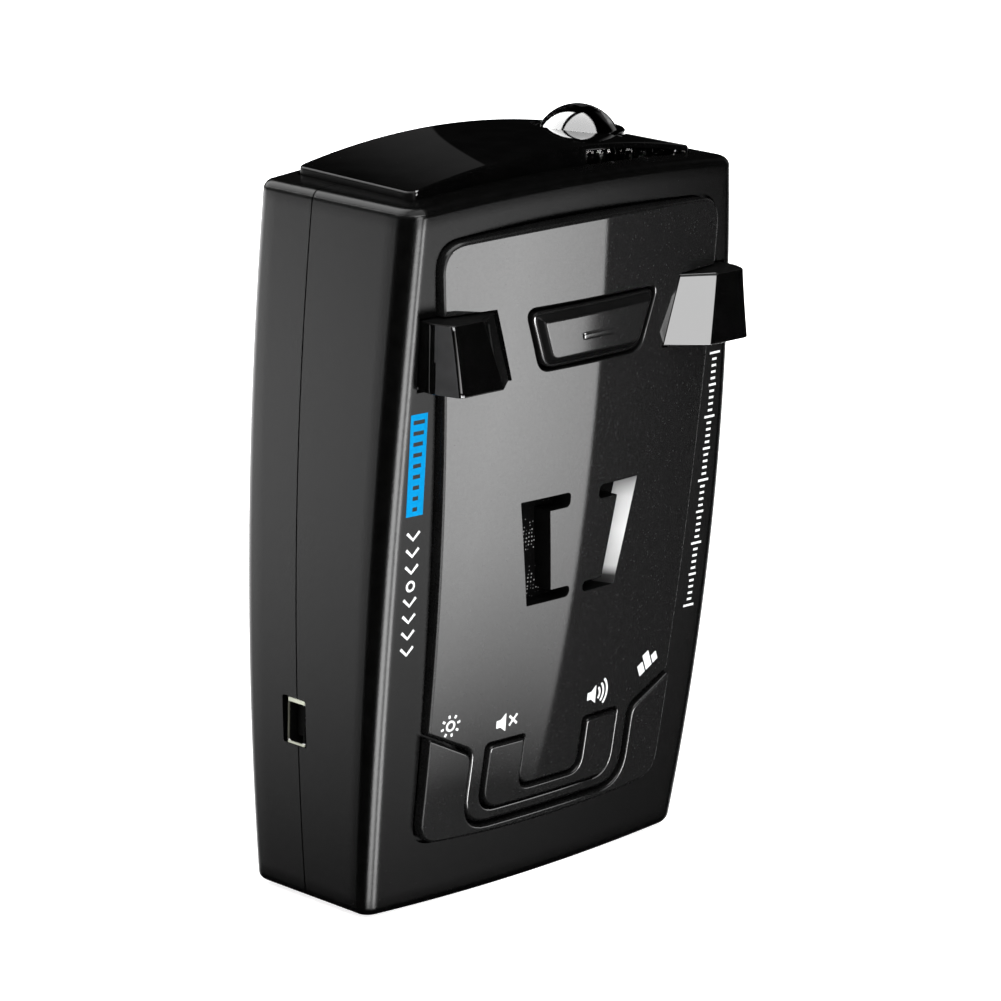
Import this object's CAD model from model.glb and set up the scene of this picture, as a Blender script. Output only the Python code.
"""The looks of a windscreen radar detector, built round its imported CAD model.

Lengths in this script are millimetres until a mesh is made. Faces of the front are drawn in x and z,
and the front looks to -Y.
"""
import math

import bmesh
import bpy
import numpy as np
from mathutils import Matrix, Vector
from mathutils.geometry import delaunay_2d_cdt


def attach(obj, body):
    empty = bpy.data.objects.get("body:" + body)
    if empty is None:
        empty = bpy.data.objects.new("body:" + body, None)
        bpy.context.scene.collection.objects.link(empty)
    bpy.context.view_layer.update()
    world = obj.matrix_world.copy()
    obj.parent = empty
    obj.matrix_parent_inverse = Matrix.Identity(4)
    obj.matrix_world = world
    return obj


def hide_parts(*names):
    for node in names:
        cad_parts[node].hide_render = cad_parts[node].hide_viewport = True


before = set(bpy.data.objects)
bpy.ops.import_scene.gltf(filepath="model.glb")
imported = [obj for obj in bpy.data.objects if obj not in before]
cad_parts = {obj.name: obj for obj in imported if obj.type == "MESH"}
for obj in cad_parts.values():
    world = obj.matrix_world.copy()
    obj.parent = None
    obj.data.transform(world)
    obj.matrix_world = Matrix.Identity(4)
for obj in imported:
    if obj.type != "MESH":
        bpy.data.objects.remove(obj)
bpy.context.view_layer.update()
MM = 0.001

# ---- driving dimensions, the same as the CAD source's ----
FOOT_Z = 0.7
HEIGHT = 104
FOOT_ARCH = 0.85
ROOF_ARCH = 1.4
PARTING_Y = 7.3
HALF_WIDTH = (32.7, 35.4, 33.05)
FRONT_DEPTH = (12.35, 17.75, 20.2)
BACK_DEPTH = 11.15
FRONT_CROWN = 0.75
BACK_CROWN = 0.8
FRONT_CORNER = 3
BACK_CORNER = 2
END_EDGE = 1.4
WALL = 2
FIT = 0.3

PANEL_CROWN = (1.6, 3.4, 3.6)
PANEL_FOOT_Z = 10.4
PANEL_TOP_Z = 99.5
PANEL_HALF = (24.9, 26.2, 28.4)
PANEL_CORNER = 4
PANEL_SINK = 0.5
RECESS = PANEL_SINK + FIT
PANEL_EDGE = 0.55                     # rounding along the panel's rim

KEY_PROUD = 0.5
KEY_SINK = 0.1
KEY_GAP = 0.35
KEY_EDGE = 0.4

BUTTON_FOOT_Z = 79.9
BUTTON_TOP_Z = 88.4
BUTTON_HALF_FOOT = 9.9
BUTTON_HALF_TOP = 13.1
BUTTON_PROUD = 1
BUTTON_TILT = 0.022

SLOT_Z = (44.5, 46, 58.4, 60.4)        # foot, lower arm, upper arm and top of the sound slots
SLOT_LEAN = 1.4                       # how far the outer wall of a sound slot leans in
SLOT_SHIFT = 0.8                      # how far right of the middle the slots' inner edges stand

RAIL_Z = (79.3, 89.3)
RAIL_INNER = (15.8, 19.1)
RAIL_OUTER = 31
RAIL_FRONT_Y = (-19.25, -17.65)
RAIL_FRONT_INNER = (21.4, 24.2)
RAIL_FRONT_OUTER = 29.7
RAIL_WAIST_Y = -14.9

CAP_HALF = 28.6
CAP_FRONT_Y = -7.75
CAP_BACK_Y = 16.25
CAP_RIDGE_Z = 109
CAP_ARCH = 2.95
CAP_SINK = 0.8
CAP_SKIN = 0.9
CAP_EDGE = 0.35

DOME_X = 20.3
DOME_Y = PARTING_Y
DOME_RADIUS = 6.5
DOME_TOP_Z = 111.1
FLANGE_RADIUS = 7
LENS_X = (5.9, 27.2)
LENS_BACK_Y = -3.4

PORT_Y = 7.6
PORT_HALF = (1.8, 3.45)
PORT_SKIN = 0.35
PORT_FACE_X = -34.6
PORT_MOUTH_Y = (5.6, 10.4)
PORT_Z = 27.7
WHEEL_Z = 27.7
WHEEL_RADIUS = 8
WHEEL_PROUD = 0.6
WHEEL_Y = (2.6, 5.5)
DISPLAY_HALF = 20
DISPLAY_HALF_DEPTH = 5
LABEL_HALF = 20
LABEL_Z = (30, 62)
LABEL_DEPTH = 0.6
BOSSES = ((-27, 11), (27, 11), (-27.5, 94), (27.5, 94))
SCREW_HEAD_Y = 15.2
SCREW_HEAD_RADIUS = 2.7
MESH_HALF = 13.4
MESH_Z = (43, 62)
INK_LIFT = 0.03
SEAM_HALF = 0.12                      # half the groove between the two halves of the case
FAR = 60                              # beyond everything sideways, in front and behind
UNDER_CAP_Z = 80                      # well below the cap and its lens
SKY_Z = 140                           # over everything


# ---- surfaces ----
def through(values, t):
    """The parabola through three values at t = 0, 0.5 and 1."""
    low, middle, high = values
    return low * (1 - t) * (1 - 2 * t) + middle * 4 * t * (1 - t) + high * t * (2 * t - 1)


def height_share(z):
    return (z - FOOT_Z) / HEIGHT


def half_width(z):
    return through(HALF_WIDTH, height_share(z))


def shell_face(x, z):
    side = 1 - (x / (half_width(z) * (1 - FRONT_CORNER / HALF_WIDTH[1]))) ** 2
    depth = through(FRONT_DEPTH, height_share(z))
    return PARTING_Y - depth * (1 + FRONT_CROWN / FRONT_DEPTH[1] * side)


def panel_face(x, z):
    corner_y = PARTING_Y - through(FRONT_DEPTH, height_share(z))
    return corner_y - through(PANEL_CROWN, height_share(z)) * (1 - (x / half_width(z)) ** 2)


def key_face(x, z):
    return panel_face(x, z) - KEY_PROUD


def back_face(x):
    return PARTING_Y + BACK_DEPTH + BACK_CROWN * (1 - (x / (HALF_WIDTH[1] - BACK_CORNER)) ** 2)


def roof_z(x):
    return FOOT_Z + HEIGHT + ROOF_ARCH * (1 - (x / HALF_WIDTH[2]) ** 2)


def cap_z(x):
    return CAP_RIDGE_Z - CAP_ARCH * (x / CAP_HALF) ** 2


def side_x(z, grow=0):
    """Half width of the panel at height z."""
    share = (z - PANEL_FOOT_Z - PANEL_CORNER) / (PANEL_TOP_Z - PANEL_FOOT_Z - 2 * PANEL_CORNER)
    control = 2 * PANEL_HALF[1] - (PANEL_HALF[0] + PANEL_HALF[2]) / 2
    low, high = PANEL_HALF[0], PANEL_HALF[2]
    return low * (1 - share) ** 2 + 2 * control * share * (1 - share) + high * share ** 2 + grow


# ---- outlines ----
class Outline:
    """A closed path on a flat sheet, from lines and bends."""

    def __init__(self, u, v):
        self.points = [(u, v)]

    def line(self, u, v):
        self.points.append((u, v))
        return self

    def bend(self, control_u, control_v, u, v, count=8):
        start = np.array(self.points[-1], float)
        control = np.array((control_u, control_v), float)
        end = np.array((u, v), float)
        for k in range(1, count + 1):
            t = k / count
            point = start * (1 - t) ** 2 + control * 2 * t * (1 - t) + end * t ** 2
            self.points.append(tuple(point))
        return self

    def follow(self, points):
        self.points.extend(points)
        return self

    def loop(self, step=1.0):
        """The path as an anticlockwise loop with no stretch longer than step."""
        dense = []
        count = len(self.points)
        for i in range(count):
            a = np.array(self.points[i], float)
            b = np.array(self.points[(i + 1) % count], float)
            pieces = max(1, math.ceil(np.linalg.norm(b - a) / step))
            if np.linalg.norm(b - a) < 1e-6:
                continue
            dense.extend(a + (b - a) * k / pieces for k in range(pieces))
        return turned(np.array(dense), 1)


def turned(loop, way):
    """The loop anticlockwise (way 1) or clockwise (way -1)."""
    u, v = loop.T
    area = np.sum(u * np.roll(v, -1) - np.roll(u, -1) * v)
    return loop if area * way > 0 else loop[::-1]


def rounded(corners, radius, step=1.0, count=5):
    """A polygon whose corners are rounded. radius is one number or one for each corner."""
    corners = np.array(corners, float)
    radii = np.broadcast_to(radius, len(corners))
    path = None
    for i, corner in enumerate(corners):
        before = corners[i - 1] - corner
        after = corners[(i + 1) % len(corners)] - corner
        start = corner + before / np.linalg.norm(before) * radii[i]
        end = corner + after / np.linalg.norm(after) * radii[i]
        if path is None:
            path = Outline(*start)
        else:
            path.line(*start)
        if radii[i] > 0:
            path.bend(*corner, *end, count)
    return path.loop(step)


def circle(u, v, radius, count=48):
    angles = np.linspace(0, 2 * math.pi, count, endpoint=False)
    return np.stack([u + radius * np.cos(angles), v + radius * np.sin(angles)], axis=1)


def inset(loop, distance):
    """Every point moved to the loop's left by the distance. Where that crosses itself, corners are cut."""
    if distance == 0:
        return loop
    span = np.roll(loop, -1, axis=0) - loop
    along = span / np.linalg.norm(span, axis=1)[:, None]
    after = np.stack([-along[:, 1], along[:, 0]], axis=1)
    before = np.roll(after, 1, axis=0)
    dot = np.clip(np.sum(before * after, axis=1), -0.5, 1)
    moved = loop + distance * (before + after) / (1 + dot)[:, None]
    offset = moved[:, None] - loop
    share = np.clip(np.sum(offset * span, axis=2) / np.sum(span * span, axis=1), 0, 1)
    gap = np.linalg.norm(offset - share[:, :, None] * span, axis=2).min(axis=1)
    good = gap > abs(distance) - 1e-4
    if good.all() or good.sum() < 8:
        return moved
    count = len(loop)
    first = int(np.argmax(good & ~np.roll(good, -1)))
    run = []
    for i in range(first, first + count + 1):
        if not good[i % count]:
            run.append(i % count)
        elif run:
            p, q = moved[run[0] - 1], moved[i % count]
            p_way, q_way = p - moved[run[0] - 2], moved[(i + 1) % count] - q
            cross = p_way[0] * q_way[1] - p_way[1] * q_way[0]
            reach = ((q - p)[0] * q_way[1] - (q - p)[1] * q_way[0]) / cross if abs(cross) > 1e-9 else 0
            moved[run] = p + p_way * reach
            run = []
    return moved


def inside(points, loop):
    """Which of the points lie inside the loop."""
    result = np.zeros(len(points), bool)
    u, v = points.T
    for (u0, v0), (u1, v1) in zip(loop, np.roll(loop, -1, axis=0)):
        crosses = (v0 > v) != (v1 > v)
        if not crosses.any():
            continue
        result ^= crosses & (u < (u1 - u0) * (v - v0) / (v1 - v0 + 1e-30) + u0)
    return result


def filled(loops, spacing):
    """Triangles between the first loop and the others: the points, how many lie on loops, the faces."""
    edge = np.concatenate(loops)
    low, high = loops[0].min(axis=0), loops[0].max(axis=0)
    grid = np.stack(np.meshgrid(
        np.arange(low[0] + spacing / 2, high[0], spacing),
        np.arange(low[1] + spacing / 2, high[1], spacing),
    ), axis=-1).reshape(-1, 2)
    keep = inside(grid, loops[0])
    for hole in loops[1:]:
        keep &= ~inside(grid, hole)
    grid = grid[keep]
    if len(grid):
        clear = np.ones(len(grid), bool)
        for chunk in np.array_split(edge, max(1, len(edge) // 200)):
            gaps = np.linalg.norm(grid[:, None, :] - chunk[None, :, :], axis=2)
            clear &= gaps.min(axis=1) > spacing * 0.55
        grid = grid[clear]
    points = np.concatenate([edge, grid])
    lines = []
    start = 0
    for loop in loops:
        count = len(loop)
        lines.extend((start + i, start + (i + 1) % count) for i in range(count))
        start += count
    result = delaunay_2d_cdt([Vector(p) for p in points], lines, [], 0, 1e-6)
    home = {old: group[0] for group in result[3] for old in group}
    origin = [group[0] if group else -1 for group in result[3]]
    faces = [[origin[i] for i in face] for face in result[2]]
    lines = [(home[a], home[b]) for a, b in lines if home[a] != home[b]]
    return points, len(edge), [faces[i] for i in left_of(lines, faces)]


def left_of(lines, faces):
    """The triangles on the left of the lines, spreading from each line up to the next."""
    owner = {}
    for number, face in enumerate(faces):
        for a, b in zip(face, face[1:] + face[:1]):
            owner[a, b] = number
    borders = set(lines)
    waiting = [owner[line] for line in lines if line in owner]
    kept = set(waiting)
    while waiting:
        face = faces[waiting.pop()]
        for a, b in zip(face, face[1:] + face[:1]):
            other = owner.get((b, a))
            if (a, b) not in borders and other is not None and other not in kept:
                kept.add(other)
                waiting.append(other)
    return sorted(kept)


# ---- meshes ----
def made(name, points, faces, material=None, angle=32):
    """An object from points in millimetres. Points that coincide are joined, and faces turned outwards."""
    mesh = bpy.data.meshes.new(name)
    points = np.asarray(points, float) * MM
    mesh.from_pydata([tuple(p) for p in points], [], [tuple(int(i) for i in face) for face in faces])
    work = bmesh.new()
    work.from_mesh(mesh)
    bmesh.ops.remove_doubles(work, verts=work.verts, dist=1e-8)
    bmesh.ops.recalc_face_normals(work, faces=work.faces)
    work.to_mesh(mesh)
    work.free()
    obj = bpy.data.objects.new(name, mesh)
    bpy.context.scene.collection.objects.link(obj)
    finish_mesh(obj, material, angle)
    return obj


def finish_mesh(obj, material, angle=32):
    """Smooth shading with sharp edges over the angle in degrees, and one material."""
    obj.data.shade_smooth()
    obj.data.set_sharp_from_angle(angle=math.radians(angle))
    if material is not None:
        obj.data.materials.clear()
        obj.data.materials.append(material)


def strip(first, second, count):
    return [(first + i, first + (i + 1) % count, second + (i + 1) % count, second + i)
            for i in range(count)]


def round_edge(radius, steps):
    """Rings of a rounded rim: how far in from the edge, and how far below the face."""
    angles = np.linspace(0, math.pi / 2, steps)
    return [(radius * (1 - math.cos(a)), radius * (1 - math.sin(a))) for a in angles]


def plate(name, loops, lift, back, rings, material, spacing=0.9):
    """A closed sheet between lift(u, v, down) and back(u, v).

    The first loop is the outside and the rest are holes. A loop may be a pair, at the face and at the
    back. Rings give the rim's profile as (inwards, down), one list for all loops or one for each.
    """
    points, faces, rims, fronts, backs = [], [], [], [], []

    def add(array):
        points.extend(array)
        return range(len(points) - len(array), len(points))

    if not isinstance(rings[0], list):
        rings = [rings] * len(loops)
    for number, (entry, profile) in enumerate(zip(loops, rings)):
        top, foot = entry if isinstance(entry, tuple) else (entry, entry)
        if turned(top, 1 if number == 0 else -1) is not top:
            top, foot = top[::-1], foot[::-1]
        innermost = profile[-1][0]
        rows = [add(back(*inset(foot, innermost).T)), add(back(*foot.T))]
        rows += [add(lift(*inset(top, inwards).T, down)) for inwards, down in profile]
        for a, b in zip(rows, rows[1:]):
            faces.extend(strip(a[0], b[0], len(top)))
        rims.append(inset(top, innermost))
        fronts.extend(rows[-1])
        backs.extend(rows[0])
    flat, edge_count, triangles = filled(rims, spacing)
    grid = flat[edge_count:]
    if len(grid):
        fronts.extend(add(lift(*grid.T, rings[0][-1][1])))
        backs.extend(add(back(*grid.T)))
    for face in triangles:
        faces.append([fronts[i] for i in face])
        faces.append([backs[i] for i in face])
    return made(name, points, faces, material)


def true_normals(obj, surface, axes=(0, 2)):
    """Gives the corners that lie on a smooth surface(u, v) the surface's own normals."""
    mesh = obj.data
    points = np.empty(len(mesh.vertices) * 3)
    mesh.vertices.foreach_get("co", points)
    points = points.reshape(-1, 3) / MM
    u, v = points[:, axes[0]], points[:, axes[1]]
    step = 0.01
    near = surface(u, v)
    across = surface(u + step, v) - surface(u - step, v)
    along = surface(u, v + step) - surface(u, v - step)
    normal = np.cross(across, along)
    normal /= np.linalg.norm(normal, axis=1)[:, None]
    on_it = np.linalg.norm(near - points, axis=1) < 0.002
    corners = []
    for face in mesh.polygons:
        facing = np.array(face.normal)
        for i in face.vertices:
            lean = float(np.dot(normal[i], facing))
            use = on_it[i] and abs(lean) > 0.9
            corners.append(tuple(normal[i] * math.copysign(1, lean)) if use else (0, 0, 0))
    mesh.normals_split_custom_set(corners)
    return obj


def paint(obj, material, test):
    """Gives a material to the faces whose centre and normal pass the test, in millimetres."""
    obj.data.materials.append(material)
    number = len(obj.data.materials) - 1
    for face in obj.data.polygons:
        if test(face.center / MM, face.normal):
            face.material_index = number


def sheet(level, axis="y", sink=1):
    """The points of a surface y = level(x, z), or z = level(x, y) for axis z, moved by down times sink."""
    def points(u, v, down=0):
        height = level(u, v) + sink * down + 0 * u
        return np.stack([u, height, v] if axis == "y" else [u, v, height], axis=1)
    return points


def prism(name, loop, low, high, axis="y"):
    """A straight block on a loop. axis y takes (x, z) loops, z takes (x, y), x takes (y, z)."""
    count = len(loop)
    place = {"y": (0, 2, 1), "z": (0, 1, 2), "x": (1, 2, 0)}[axis]
    points = np.zeros((2 * count, 3))
    for k, level in enumerate((low, high)):
        points[k * count:(k + 1) * count, place[0]] = loop[:, 0]
        points[k * count:(k + 1) * count, place[1]] = loop[:, 1]
        points[k * count:(k + 1) * count, place[2]] = level
    faces = strip(0, count, count)
    faces.append(list(range(count))[::-1])
    faces.append(list(range(count, 2 * count)))
    return made(name, points, faces)


def cuboid(name, xs, ys, zs):
    loop = np.array([(xs[0], zs[0]), (xs[1], zs[0]), (xs[1], zs[1]), (xs[0], zs[1])], float)
    return prism(name, loop, ys[0], ys[1])


def carve(obj, tool, operation="DIFFERENCE"):
    """A boolean of two closed meshes; the tool is used up."""
    modifier = obj.modifiers.new("carve", "BOOLEAN")
    modifier.operation = operation
    modifier.solver = "MANIFOLD"
    modifier.object = tool
    graph = bpy.context.evaluated_depsgraph_get()
    mesh = bpy.data.meshes.new_from_object(obj.evaluated_get(graph))
    obj.modifiers.clear()
    old = obj.data
    obj.data = mesh
    bpy.data.meshes.remove(old)
    bpy.data.objects.remove(tool)
    return obj


def between(name, first, second, loop, axis="y"):
    """The space between two surfaces over a loop."""
    return plate(name, [loop], sheet(first, axis), sheet(second, axis), [(0, 0)], None, 2.0)


def lathe(name, profile, centre, axis="y", count=48, material=None, angle=32):
    """A turned piece. The profile is (radius, level) pairs, and the ends may lie on the axis."""
    points, rows = [], []
    angles = np.linspace(0, 2 * math.pi, count, endpoint=False)
    for radius, level in profile:
        start = len(points)
        if radius < 1e-9:
            ring = [(0.0, 0.0)]
        else:
            ring = [(radius * math.cos(a), radius * math.sin(a)) for a in angles]
        for a, b in ring:
            point = (a, level, b) if axis == "y" else (a, b, level) if axis == "z" else (level, a, b)
            points.append(np.array(point) + np.array(centre, float))
        rows.append((start, len(ring)))
    faces = []
    for (a, na), (b, nb) in zip(rows, rows[1:] + rows[:1]):
        if na == 1 and nb == 1:
            continue
        for i in range(count):
            j = (i + 1) % count
            if na == 1:
                faces.append((a, b + j, b + i))
            elif nb == 1:
                faces.append((a + i, a + j, b))
            else:
                faces.append((a + i, a + j, b + j, b + i))
    return made(name, points, faces, material, angle)


def loft(name, sections, material, angle):
    """A closed skin through rings of points that all have the same count."""
    count = len(sections[0])
    faces = []
    for k in range(len(sections) - 1):
        faces.extend(strip(k * count, (k + 1) * count, count))
    faces.append(list(range(count))[::-1])
    faces.append(list(range((len(sections) - 1) * count, len(sections) * count)))
    return made(name, np.concatenate(sections), faces, material, angle)


# ---- the case ----
def warped(points):
    """The case's barrel shape, from points of a straight block."""
    x, y, z = np.array(points, float).T
    bulge = 1 - (x / HALF_WIDTH[1]) ** 2
    share = height_share(z)
    z = z + bulge * (ROOF_ARCH * share - FOOT_ARCH * (1 - share))
    x = x * half_width(z) / HALF_WIDTH[1]
    deeper = through(FRONT_DEPTH, height_share(z)) / FRONT_DEPTH[1]
    y = PARTING_Y + np.where(y < 0, y * deeper, y)
    return np.stack([x, y, z], axis=1)


def barrel(name, wall, arc=12, rows=60, spacing=1.6):
    """The case's outside, or the same shape a wall's thickness further in."""
    w = HALF_WIDTH[1] - wall
    front = FRONT_DEPTH[1] - wall
    back = BACK_DEPTH - wall
    rf = FRONT_CORNER - wall * 0.75
    rb = BACK_CORNER - wall * 0.6
    edge = END_EDGE - wall * 0.4

    def corner(x, y, radius, start):
        angles = np.radians(np.linspace(start, start + 90, arc + 1))
        return [(x + radius * math.cos(a), y + radius * math.sin(a)) for a in angles]

    path = Outline(-w + rf, -front).bend(0, -front - 2 * FRONT_CROWN, w - rf, -front, 48)
    path.follow(corner(w - rf, -front + rf, rf, -90)[1:])
    path.follow(corner(w - rb, back - rb, rb, 0))
    path.bend(0, back + 2 * BACK_CROWN, -w + rb, back, 48)
    path.follow(corner(-w + rb, back - rb, rb, 90)[1:])
    path.follow(corner(-w + rf, -front + rf, rf, 180)[:-1])
    section = path.loop(2.0)
    low = FOOT_Z + wall
    high = FOOT_Z + HEIGHT - wall
    turn = np.linspace(0, math.pi / 2, 8)
    levels = [(edge * (1 - math.sin(a)), low + edge * (1 - math.cos(a))) for a in turn]
    levels += [(0, z) for z in np.linspace(low + edge, high - edge, rows)[1:-1]]
    levels += [(edge * (1 - math.sin(a)), high - edge * (1 - math.cos(a))) for a in turn[::-1]]
    points, faces = [], []
    count = len(section)
    for inwards, z in levels:
        ring = inset(section, inwards)
        points.extend(np.column_stack([ring, np.full(count, z)]))
    for k in range(len(levels) - 1):
        faces.extend(strip(k * count, (k + 1) * count, count))
    flat, rim, triangles = filled([inset(section, edge)], spacing)
    for z in (low, high):
        start = len(points)
        points.extend(np.column_stack([flat, np.full(len(flat), z)]))
        faces.extend([start + i for i in face] for face in triangles)
    return made(name, warped(points), faces)


def mirrored(points):
    """The points on the other side of the middle, in the opposite order."""
    return [(-x, z) for x, z in points[::-1]]


def panel_side(low, high, grow=0, count=60):
    """Points up the panel's right side."""
    return [(side_x(z, grow), z) for z in np.linspace(low, high, count)]


def foot_run(grow=0, corner_count=12):
    """A path along the panel's foot and round its right corner."""
    foot, half, r = PANEL_FOOT_Z - grow, PANEL_HALF[0] + grow, PANEL_CORNER
    path = Outline(-half + r, foot).bend(0, foot - 1.3, half - r, foot, 40)
    return path.bend(half, foot + 0.2, half, foot + r, corner_count)


def foot_end(path, grow=0, corner_count=12):
    """The path closed round the left corner of the foot."""
    foot, half, r = PANEL_FOOT_Z - grow, PANEL_HALF[0] + grow, PANEL_CORNER
    return path.bend(-half, foot + 0.2, -half + r, foot, corner_count).loop()


def top_run(path, grow=0, corner_count=12):
    """The path carried on round the panel's top, from its right side to its left."""
    top, half, r = PANEL_TOP_Z + grow, PANEL_HALF[2] + grow, PANEL_CORNER
    path.bend(half, top, half - r, top + 0.3, corner_count).bend(0, top + 1.8, -half + r, top + 0.3, 40)
    return path.bend(-half, top, -half, top - r, corner_count)


def panel_outline(grow):
    """Panel and outer key together."""
    right = panel_side(PANEL_FOOT_Z - grow + PANEL_CORNER, PANEL_TOP_Z + grow - PANEL_CORNER, grow)
    path = top_run(foot_run(grow, 8).follow(right[1:]), grow, 8)
    return foot_end(path.follow(mirrored(right[:-1])), grow, 8)


def web_side(grow, way):
    """The edge between panel and outer key, from the middle of its foot to the panel's side."""
    side, foot, shoulder, r = 16.5 + grow, 11.5 - grow, 23.6 - grow, 5
    slope = (28.2 - grow - shoulder - 0.6) / (26.5 - side - 1.5)
    x = 25.2
    for _ in range(6):
        z = shoulder + 0.6 + slope * (x - side - 1.5)
        x = side_x(z)
    path = Outline(0, foot).line(side - r, foot).bend(side, foot, side, foot + r)
    path.line(side, shoulder - 1.6).bend(side, shoulder, side + 1.5, shoulder + 0.6, 6)
    ease = 0.6
    path.line(x - ease, z - slope * ease)
    path.bend(x, z, side_x(z + way * ease), z + way * ease, 5)
    return path.points


def panel_loop():
    """The panel without the outer key: a shield with two shoulders."""
    web = web_side(0, 1)
    right = web + panel_side(web[-1][1], PANEL_TOP_Z - PANEL_CORNER)[1:]
    return top_run(Outline(*web[0]).follow(right[1:])).follow(mirrored(right[1:-1])).loop()


def outer_key_loop():
    """A U along the foot, with one prong at each side."""
    web = web_side(KEY_GAP, -1)
    side = panel_side(PANEL_FOOT_Z + PANEL_CORNER, web[-1][1], count=12)
    prong = side + web[-2::-1]
    return foot_end(foot_run().follow(prong[1:]).follow(mirrored(prong[:-1])))


def inner_key_loop(grow):
    outer, inner = 13.45 + grow, 6.5 - grow
    top, foot, bridge, r = 23.7 + grow, 13.65 - grow, 15.6 + grow, 3.6
    corners = [(-outer, top), (-outer, foot), (outer, foot), (outer, top),
               (inner, top), (inner, bridge), (-inner, bridge), (-inner, top)]
    return rounded(corners, [0.9, r, r, 0.9, 0.7, 2.4, 2.4, 0.7], count=8)


def button_loop(grow, radius):
    low, high = BUTTON_FOOT_Z - grow, BUTTON_TOP_Z + grow
    corners = [(-BUTTON_HALF_FOOT - grow, low), (BUTTON_HALF_FOOT + grow, low),
               (BUTTON_HALF_TOP + grow, high), (-BUTTON_HALF_TOP - grow, high)]
    return rounded(corners, radius, count=8)


def slot_loops(side):
    """A bracket-shaped opening, at the face and at the back of the panel."""
    foot_z, lower_z, upper_z, top_z = SLOT_Z
    inner_points = [(3.1, top_z), (3.1, upper_z), (7.1, upper_z),
                    (5.4, lower_z), (1.5, lower_z), (1.5, foot_z)]
    corners = [(side * 12, top_z)] + [(side * x + SLOT_SHIFT, z) for x, z in inner_points]
    corners.append((side * 9, foot_z))
    radii = [0.1, 0.74, 0.74, 0.25, 0.25, 0.74, 0.74, 0.1]
    top = rounded(corners, radii, count=8)
    foot = top.copy()
    x, z = np.abs(top[:, 0]), top[:, 1]
    inner = 5.4 + side * SLOT_SHIFT + (z - lower_z) / (upper_z - lower_z) * 1.7
    outer = 9 + (z - foot_z) / (top_z - foot_z) * 3
    foot[:, 0] = side * (x - SLOT_LEAN * np.clip((x - inner) / (outer - inner), 0, 1))
    return top, foot


def rail_foot(side):
    """The room that a rail needs in the face, as a loop."""
    low, high = RAIL_Z[0] - FIT, RAIL_Z[1] + FIT
    inner_low, inner_high = RAIL_INNER[0] - FIT, RAIL_INNER[1] - FIT
    outer = RAIL_OUTER + FIT
    corners = [(inner_low, low), (outer, low), (outer, high), (inner_high, high)]
    return turned(np.array([(side * x, z) for x, z in corners], float), 1)


def cap_loop(grow):
    """The cap's outline in x and y."""
    half, y0, y1, r = CAP_HALF + grow, CAP_FRONT_Y - grow, CAP_BACK_Y + grow, 1.5
    path = Outline(-half + r, y0).bend(0, y0 - 0.8, half - r, y0, 40).bend(half, y0, half, y0 + r)
    path.line(half - 0.8, y1 - r).bend(half - 0.8, y1, half - 0.8 - r, y1)
    path.line(-half + 0.8 + r, y1).bend(-half + 0.8, y1, -half + 0.8, y1 - r)
    return path.line(-half, y0 + r).bend(-half, y0, -half + r, y0).loop()


def below(name, loop, surface):
    """Everything below a surface over a loop of x and y, as far as UNDER_CAP_Z."""
    return between(name, surface, lambda x, y: UNDER_CAP_Z, loop, "z")


def box_loop(u, v):
    """The loop of a box from its (low, high) pairs."""
    return np.array([(u[0], v[0]), (u[1], v[0]), (u[1], v[1]), (u[0], v[1])], float)


def oval(u, v, radius):
    """The same box with rounded corners."""
    return rounded(box_loop(u, v), radius)


def port_oval(half_depth, half_height, radius):
    """A rounded box of y and z round the middle of the power socket."""
    return oval((PORT_Y - half_depth, PORT_Y + half_depth),
                (PORT_Z - half_height, PORT_Z + half_height), radius)


WHEEL_X = half_width(WHEEL_Z) + WHEEL_PROUD - WHEEL_RADIUS


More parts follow.
